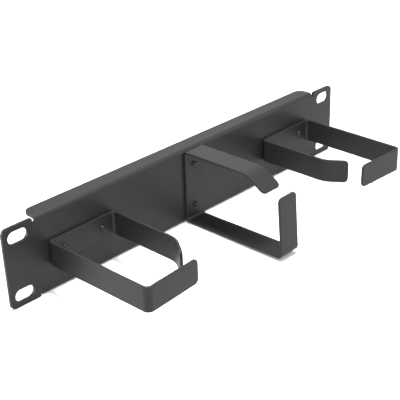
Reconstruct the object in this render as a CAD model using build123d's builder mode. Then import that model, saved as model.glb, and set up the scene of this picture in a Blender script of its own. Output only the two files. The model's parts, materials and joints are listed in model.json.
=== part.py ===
from build123d import *
from math import cos, radians, sin, tan
import os

# Cable management panel for a 10-inch rack, one unit high. Lengths are in millimetres.
# X runs along the panel, +Z is up, and the hooks stand out towards -Y.
# The origin is the middle of the four rack slots, on the back face of the ears.

# Folded sheet: two flat ears, and between them a channel whose flanges fold back
panel_width = 254.0
panel_height = 43.9
sheet_thickness = 1.5
ear_corner_radius = 3.2
flange_length = 215.0
flange_depth = 10.4
flange_corner_radius = 4.8
fold_inner_radius = 0.8
relief_width = 1.6
relief_depth = 2.6
relief_corner_radius = 0.9

# Rack slots
slot_spacing_x = 236.525
slot_spacing_z = 31.75
slot_length = 11.6
slot_width = 6.8

# Hooks of bent strip, all three alike
hook_spacing = 80.5
hook_width = 43.4
hook_depth = 69.8
strip_width = 13.4
strip_thickness = 1.4
strip_corner_radius = 2.6
base_bend_inner_radius = 1.5
lip_bend_inner_radius = 2.0
lip_length = 34.4
lip_lean = 3.3
long_arm_lean = 1.1
short_arm_straight = 42.3
short_arm_bend_inner_radius = 12.5
short_arm_turn = 34.0
short_arm_tip = 9.4

# Rivets, two in each hook's base
rivet_spacing = 24.8
rivet_shank_diameter = 2.0
rivet_hole_clearance = 0.05
rivet_head_diameter = 3.4
rivet_head_height = 1.5
rivet_tail_diameter = 3.2
rivet_tail_height = 0.8
rivet_tail_bevel = 0.35

# The long cut edges of the strip are broken
edge_break = 0.2

# Places that follow from the sizes
front_face_y = -sheet_thickness
rivet_hole_radius = rivet_shank_diameter / 2 + rivet_hole_clearance

# Each hook's plane lies on the panel's front face, in the middle of the hook's base.
# Its x points across the base to the short arm, and its y points out of the panel.
hook_planes = {
    "left_hook": Plane(origin=(-hook_spacing, front_face_y, 0), x_dir=(1, 0, 0), z_dir=(0, 0, -1)),
    "centre_hook": Plane(origin=(0, front_face_y, 0), x_dir=(0, 0, 1), z_dir=(1, 0, 0)),
    "right_hook": Plane(origin=(hook_spacing, front_face_y, 0), x_dir=(-1, 0, 0), z_dir=(0, 0, 1)),
}


def rivet_planes(hook_plane):
    """The planes of a hook's two rivets: x across the rivet, y along it and out of the panel."""
    middles = [(side * rivet_spacing / 2, 0, 0) for side in (-1, 1)]
    return [
        Plane(hook_plane.from_local_coords(middle), x_dir=hook_plane.x_dir, z_dir=hook_plane.z_dir)
        for middle in middles
    ]


def drill_plane(rivet_plane):
    """The same place, with the rivet's own line as the plane's normal."""
    return Plane(rivet_plane.origin, x_dir=rivet_plane.x_dir, z_dir=rivet_plane.y_dir)


def hook_centre_line():
    """The middle line of the strip, from the tip of the short arm to the end of the lip."""
    half = strip_thickness / 2
    turn = radians(short_arm_turn)
    lean = radians(lip_lean)
    arm_x = hook_width / 2 - half
    lip_y = hook_depth - half
    bend_radius = short_arm_bend_inner_radius + half
    bend_reach = bend_radius * tan(turn / 2)
    bend = Vector(arm_x, short_arm_straight + bend_reach)
    tip = bend + Vector(-sin(turn), cos(turn)) * (bend_reach + short_arm_tip)
    lip_corner = Vector(-arm_x + (lip_y - half) * tan(radians(long_arm_lean)), lip_y)
    lip_end = lip_corner + Vector(cos(lean), -sin(lean)) * (lip_length - half)
    points = [tip, bend, (arm_x, half), (-arm_x, half), lip_corner, lip_end]
    base_bend_radius = base_bend_inner_radius + half
    radii = [bend_radius, base_bend_radius, base_bend_radius, lip_bend_inner_radius + half]
    return points, radii


def bent_strip_hook(hook_plane):
    """One strip bent into a hook: a base, a short arm turned in, and a long arm with a lip."""
    points, radii = hook_centre_line()
    with BuildPart() as hook:
        with BuildSketch(hook_plane):
            with BuildLine():
                FilletPolyline(points, radius=radii)
            trace(line_width=strip_thickness)
        extrude(amount=strip_width / 2, both=True)
        for end in (points[0], points[-1]):
            end_face = hook.faces().sort_by_distance(hook_plane.from_local_coords(end))[0]
            fillet(end_face.edges().group_by(SortBy.LENGTH)[0], strip_corner_radius)
        strip_sides = hook.faces().filter_by(hook_plane)
        chamfer(strip_sides.edges(), edge_break)
        for rivet_plane in rivet_planes(hook_plane):
            with BuildSketch(drill_plane(rivet_plane)):
                Circle(rivet_hole_radius)
            extrude(amount=2 * strip_thickness, both=True, mode=Mode.SUBTRACT)
    return hook.part


def folded_panel():
    """One sheet with flat ears, and a channel between them."""
    fold_outer_radius = fold_inner_radius + sheet_thickness
    flange_back_y = front_face_y + flange_depth
    middle_y = front_face_y + sheet_thickness / 2
    middle_z = (panel_height - sheet_thickness) / 2
    with BuildPart() as panel:
        with BuildSketch(Plane.YZ):
            with BuildLine():
                FilletPolyline(
                    (flange_back_y, middle_z),
                    (middle_y, middle_z),
                    (middle_y, -middle_z),
                    (flange_back_y, -middle_z),
                    radius=fold_outer_radius - sheet_thickness / 2,
                )
            trace(line_width=sheet_thickness)
        extrude(amount=flange_length / 2, both=True)
        flange_corners = panel.edges().filter_by(Axis.Z).group_by(Axis.Y)[-1]
        fillet(flange_corners, flange_corner_radius)

        with BuildSketch(Plane.XZ) as ears:
            Rectangle(panel_width, panel_height)
            with GridLocations(0, panel_height - relief_depth, 1, 2):
                Rectangle(flange_length + 2 * relief_width, relief_depth, mode=Mode.SUBTRACT)
            _, left_relief, right_relief, _ = ears.vertices().group_by(Axis.X)
            relief_rows = (left_relief + right_relief).group_by(Axis.Y)
            fillet(relief_rows[0] + relief_rows[-1], relief_corner_radius)
            columns = ears.vertices().group_by(Axis.X)
            fillet(columns[0] + columns[-1], ear_corner_radius)
            with GridLocations(slot_spacing_x, slot_spacing_z, 2, 2):
                SlotOverall(slot_length, slot_width, mode=Mode.SUBTRACT)
        extrude(amount=sheet_thickness)

        for hook_plane in hook_planes.values():
            for rivet_plane in rivet_planes(hook_plane):
                with BuildSketch(drill_plane(rivet_plane)):
                    Circle(rivet_hole_radius)
                extrude(amount=2 * sheet_thickness, both=True, mode=Mode.SUBTRACT)
    return panel.part


def set_rivet(rivet_plane):
    """A rivet with a domed head on the strip and its set tail behind the sheet."""
    head_seat = strip_thickness
    tail_seat = -sheet_thickness
    tail_end = tail_seat - rivet_tail_height
    shank_radius = rivet_shank_diameter / 2
    head_radius = rivet_head_diameter / 2
    tail_radius = rivet_tail_diameter / 2
    with BuildPart() as rivet:
        with BuildSketch(rivet_plane):
            with BuildLine():
                top = (0, head_seat + rivet_head_height)
                TangentArc(top, (head_radius, head_seat), tangent=(1, 0))
                Polyline(
                    (head_radius, head_seat),
                    (shank_radius, head_seat),
                    (shank_radius, tail_seat),
                    (tail_radius, tail_seat),
                    (tail_radius, tail_end + rivet_tail_bevel),
                    (tail_radius - rivet_tail_bevel, tail_end),
                    (0, tail_end),
                    top,
                )
            make_face()
        revolve(axis=Axis(rivet_plane.origin, rivet_plane.y_dir))
    return rivet.part


def save(part, name):
    part.label = name
    export_step(part, f"parts/{name}.step")


os.makedirs("parts", exist_ok=True)
save(folded_panel(), "panel")
for hook_name, hook_plane in hook_planes.items():
    save(bent_strip_hook(hook_plane), hook_name)
    for number, rivet_plane in enumerate(rivet_planes(hook_plane), start=1):
        save(set_rivet(rivet_plane), f"{hook_name}_rivet_{number}")
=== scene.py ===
"""Cable management panel for a 10-inch rack, in black powder coat on a pale studio floor."""
import json
import math

import bpy
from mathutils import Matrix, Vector

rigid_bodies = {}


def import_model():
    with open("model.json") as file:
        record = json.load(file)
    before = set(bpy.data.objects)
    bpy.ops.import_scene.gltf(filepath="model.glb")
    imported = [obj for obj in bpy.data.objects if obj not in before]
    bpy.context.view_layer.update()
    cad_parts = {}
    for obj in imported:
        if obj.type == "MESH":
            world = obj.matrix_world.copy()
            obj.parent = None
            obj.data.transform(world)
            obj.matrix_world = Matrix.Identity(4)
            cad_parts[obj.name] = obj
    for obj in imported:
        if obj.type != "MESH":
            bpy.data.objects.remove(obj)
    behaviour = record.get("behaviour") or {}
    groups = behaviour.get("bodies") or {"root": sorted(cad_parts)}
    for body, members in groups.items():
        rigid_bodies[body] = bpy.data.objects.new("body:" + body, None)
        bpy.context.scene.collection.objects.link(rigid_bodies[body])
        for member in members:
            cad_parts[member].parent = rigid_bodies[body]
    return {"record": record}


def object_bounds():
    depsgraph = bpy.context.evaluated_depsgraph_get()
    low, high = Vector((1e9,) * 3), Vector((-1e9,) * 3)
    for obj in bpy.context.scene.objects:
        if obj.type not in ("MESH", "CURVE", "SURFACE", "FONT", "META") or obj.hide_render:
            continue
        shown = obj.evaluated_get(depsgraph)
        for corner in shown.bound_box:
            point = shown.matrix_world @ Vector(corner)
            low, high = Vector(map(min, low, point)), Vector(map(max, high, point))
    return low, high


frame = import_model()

# Camera, in metres and degrees, in the part's own frame
CAMERA_PLACE = (-0.33965, -0.34147, 0.23075)
CAMERA_TURN = (63.2995, 1.874, -46.35)
CAMERA_LENS_MM = 85.9
CAMERA_SENSOR_MM = 36.0

# Powder coat, in metres. The rivets' heads are a little glossier than the sheet and the strips.
COAT_DARK = (0.0101, 0.0101, 0.0103, 1.0)
COAT_LIGHT = (0.0137, 0.0137, 0.0139, 1.0)
COAT_SPECULAR = 0.208
COAT_ROUGHNESS = {"panel_coat": 0.46, "hook_coat": 0.46, "rivet_coat": 0.32}
ROUGHNESS_SPREAD = 0.05
PEBBLE_SIZE = 0.00045
PEBBLE_HEIGHT = 0.000012
PEBBLE_DETAIL = 2.0
EDGE_RADIUS = 0.0003

# Studio
FLOOR_SIZE = 12.0
FLOOR_COLOUR = (0.6, 0.6, 0.6, 1.0)
FLOOR_ROUGHNESS = 0.9
WORLD_COLOUR = (1.0, 1.0, 1.0, 1.0)
WORLD_STRENGTH = 0.84


def powder_coat(name, roughness):
    """Black powder coat: a fine pebbled skin, faintly mottled, that softens every edge."""
    material = bpy.data.materials.new(name)
    material.use_nodes = True
    nodes, links = material.node_tree.nodes, material.node_tree.links
    shader = nodes["Principled BSDF"]
    shader.inputs["Specular IOR Level"].default_value = COAT_SPECULAR

    place = nodes.new("ShaderNodeTexCoord")
    pebbles = nodes.new("ShaderNodeTexNoise")
    pebbles.inputs["Scale"].default_value = 1 / PEBBLE_SIZE
    pebbles.inputs["Detail"].default_value = PEBBLE_DETAIL
    links.new(place.outputs["Object"], pebbles.inputs["Vector"])

    mottle = nodes.new("ShaderNodeValToRGB")
    mottle.color_ramp.elements[0].color = COAT_DARK
    mottle.color_ramp.elements[1].color = COAT_LIGHT
    links.new(pebbles.outputs["Fac"], mottle.inputs["Fac"])
    links.new(mottle.outputs["Color"], shader.inputs["Base Color"])

    gloss = nodes.new("ShaderNodeMapRange")
    gloss.inputs["To Min"].default_value = roughness - ROUGHNESS_SPREAD
    gloss.inputs["To Max"].default_value = roughness + ROUGHNESS_SPREAD
    links.new(pebbles.outputs["Fac"], gloss.inputs["Value"])
    links.new(gloss.outputs["Result"], shader.inputs["Roughness"])

    edges = nodes.new("ShaderNodeBevel")
    edges.inputs["Radius"].default_value = EDGE_RADIUS
    skin = nodes.new("ShaderNodeBump")
    skin.inputs["Distance"].default_value = PEBBLE_HEIGHT
    links.new(pebbles.outputs["Fac"], skin.inputs["Height"])
    links.new(edges.outputs["Normal"], skin.inputs["Normal"])
    links.new(skin.outputs["Normal"], shader.inputs["Normal"])
    return material


def coat_parts():
    """Each node takes the coat of its own material slot in the record."""
    coats = {slot: powder_coat(slot, roughness) for slot, roughness in COAT_ROUGHNESS.items()}
    for subpart in frame["record"]["subparts"]:
        part = bpy.data.objects[subpart["node"]]
        part.material_slots[0].material = coats[subpart["material_slot"]]


def lay_floor(height):
    """A wide pale floor under the part."""
    bpy.ops.mesh.primitive_plane_add(size=FLOOR_SIZE, location=(0, 0, height))
    floor = bpy.context.object
    floor.name = "floor"
    material = bpy.data.materials.new("pale_floor")
    material.use_nodes = True
    shader = material.node_tree.nodes["Principled BSDF"]
    shader.inputs["Base Color"].default_value = FLOOR_COLOUR
    shader.inputs["Roughness"].default_value = FLOOR_ROUGHNESS
    floor.data.materials.append(material)


def hang_light(name, place, size, watts):
    """A square soft light that faces the part's origin."""
    lamp = bpy.data.lights.new(name, "AREA")
    lamp.shape = "SQUARE"
    lamp.size = size
    lamp.energy = watts
    light = bpy.data.objects.new(name, lamp)
    light.location = place
    light.rotation_euler = (-Vector(place)).to_track_quat("-Z", "Y").to_euler()
    bpy.context.scene.collection.objects.link(light)


def light_studio():
    """Pale surroundings, two lights above, and weaker ones at the four corners."""
    world = bpy.data.worlds.new("studio")
    world.use_nodes = True
    background = world.node_tree.nodes["Background"]
    background.inputs["Color"].default_value = WORLD_COLOUR
    background.inputs["Strength"].default_value = WORLD_STRENGTH
    bpy.context.scene.world = world
    hang_light("top_front", place=(0, -0.2, 1.2), size=0.2, watts=18.5)
    hang_light("top_back", place=(0, 0.12, 1.2), size=0.2, watts=17.5)
    hang_light("front_left", place=(-0.735, -0.735, 0.6), size=0.5, watts=9.5)
    hang_light("front_right", place=(0.735, -0.735, 0.6), size=0.5, watts=3.2)
    hang_light("back_left", place=(-0.84, 0.84, 0.167), size=0.3, watts=15)
    hang_light("back_right", place=(0.735, 0.735, 0.6), size=0.4, watts=0.7)


def set_camera():
    """The camera stands where the photograph was taken from."""
    sensor = bpy.data.cameras.new("camera")
    sensor.lens = CAMERA_LENS_MM
    sensor.sensor_width = CAMERA_SENSOR_MM
    camera = bpy.data.objects.new("camera", sensor)
    camera.location = CAMERA_PLACE
    camera.rotation_euler = [math.radians(angle) for angle in CAMERA_TURN]
    bpy.context.scene.collection.objects.link(camera)
    bpy.context.scene.camera = camera


def as_lists(box):
    return [list(corner) for corner in box]


cad_box = as_lists(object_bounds())
floor_height = cad_box[0][2]

coat_parts()
lay_floor(floor_height)
light_studio()
set_camera()
bpy.context.scene.view_settings.view_transform = "Standard"
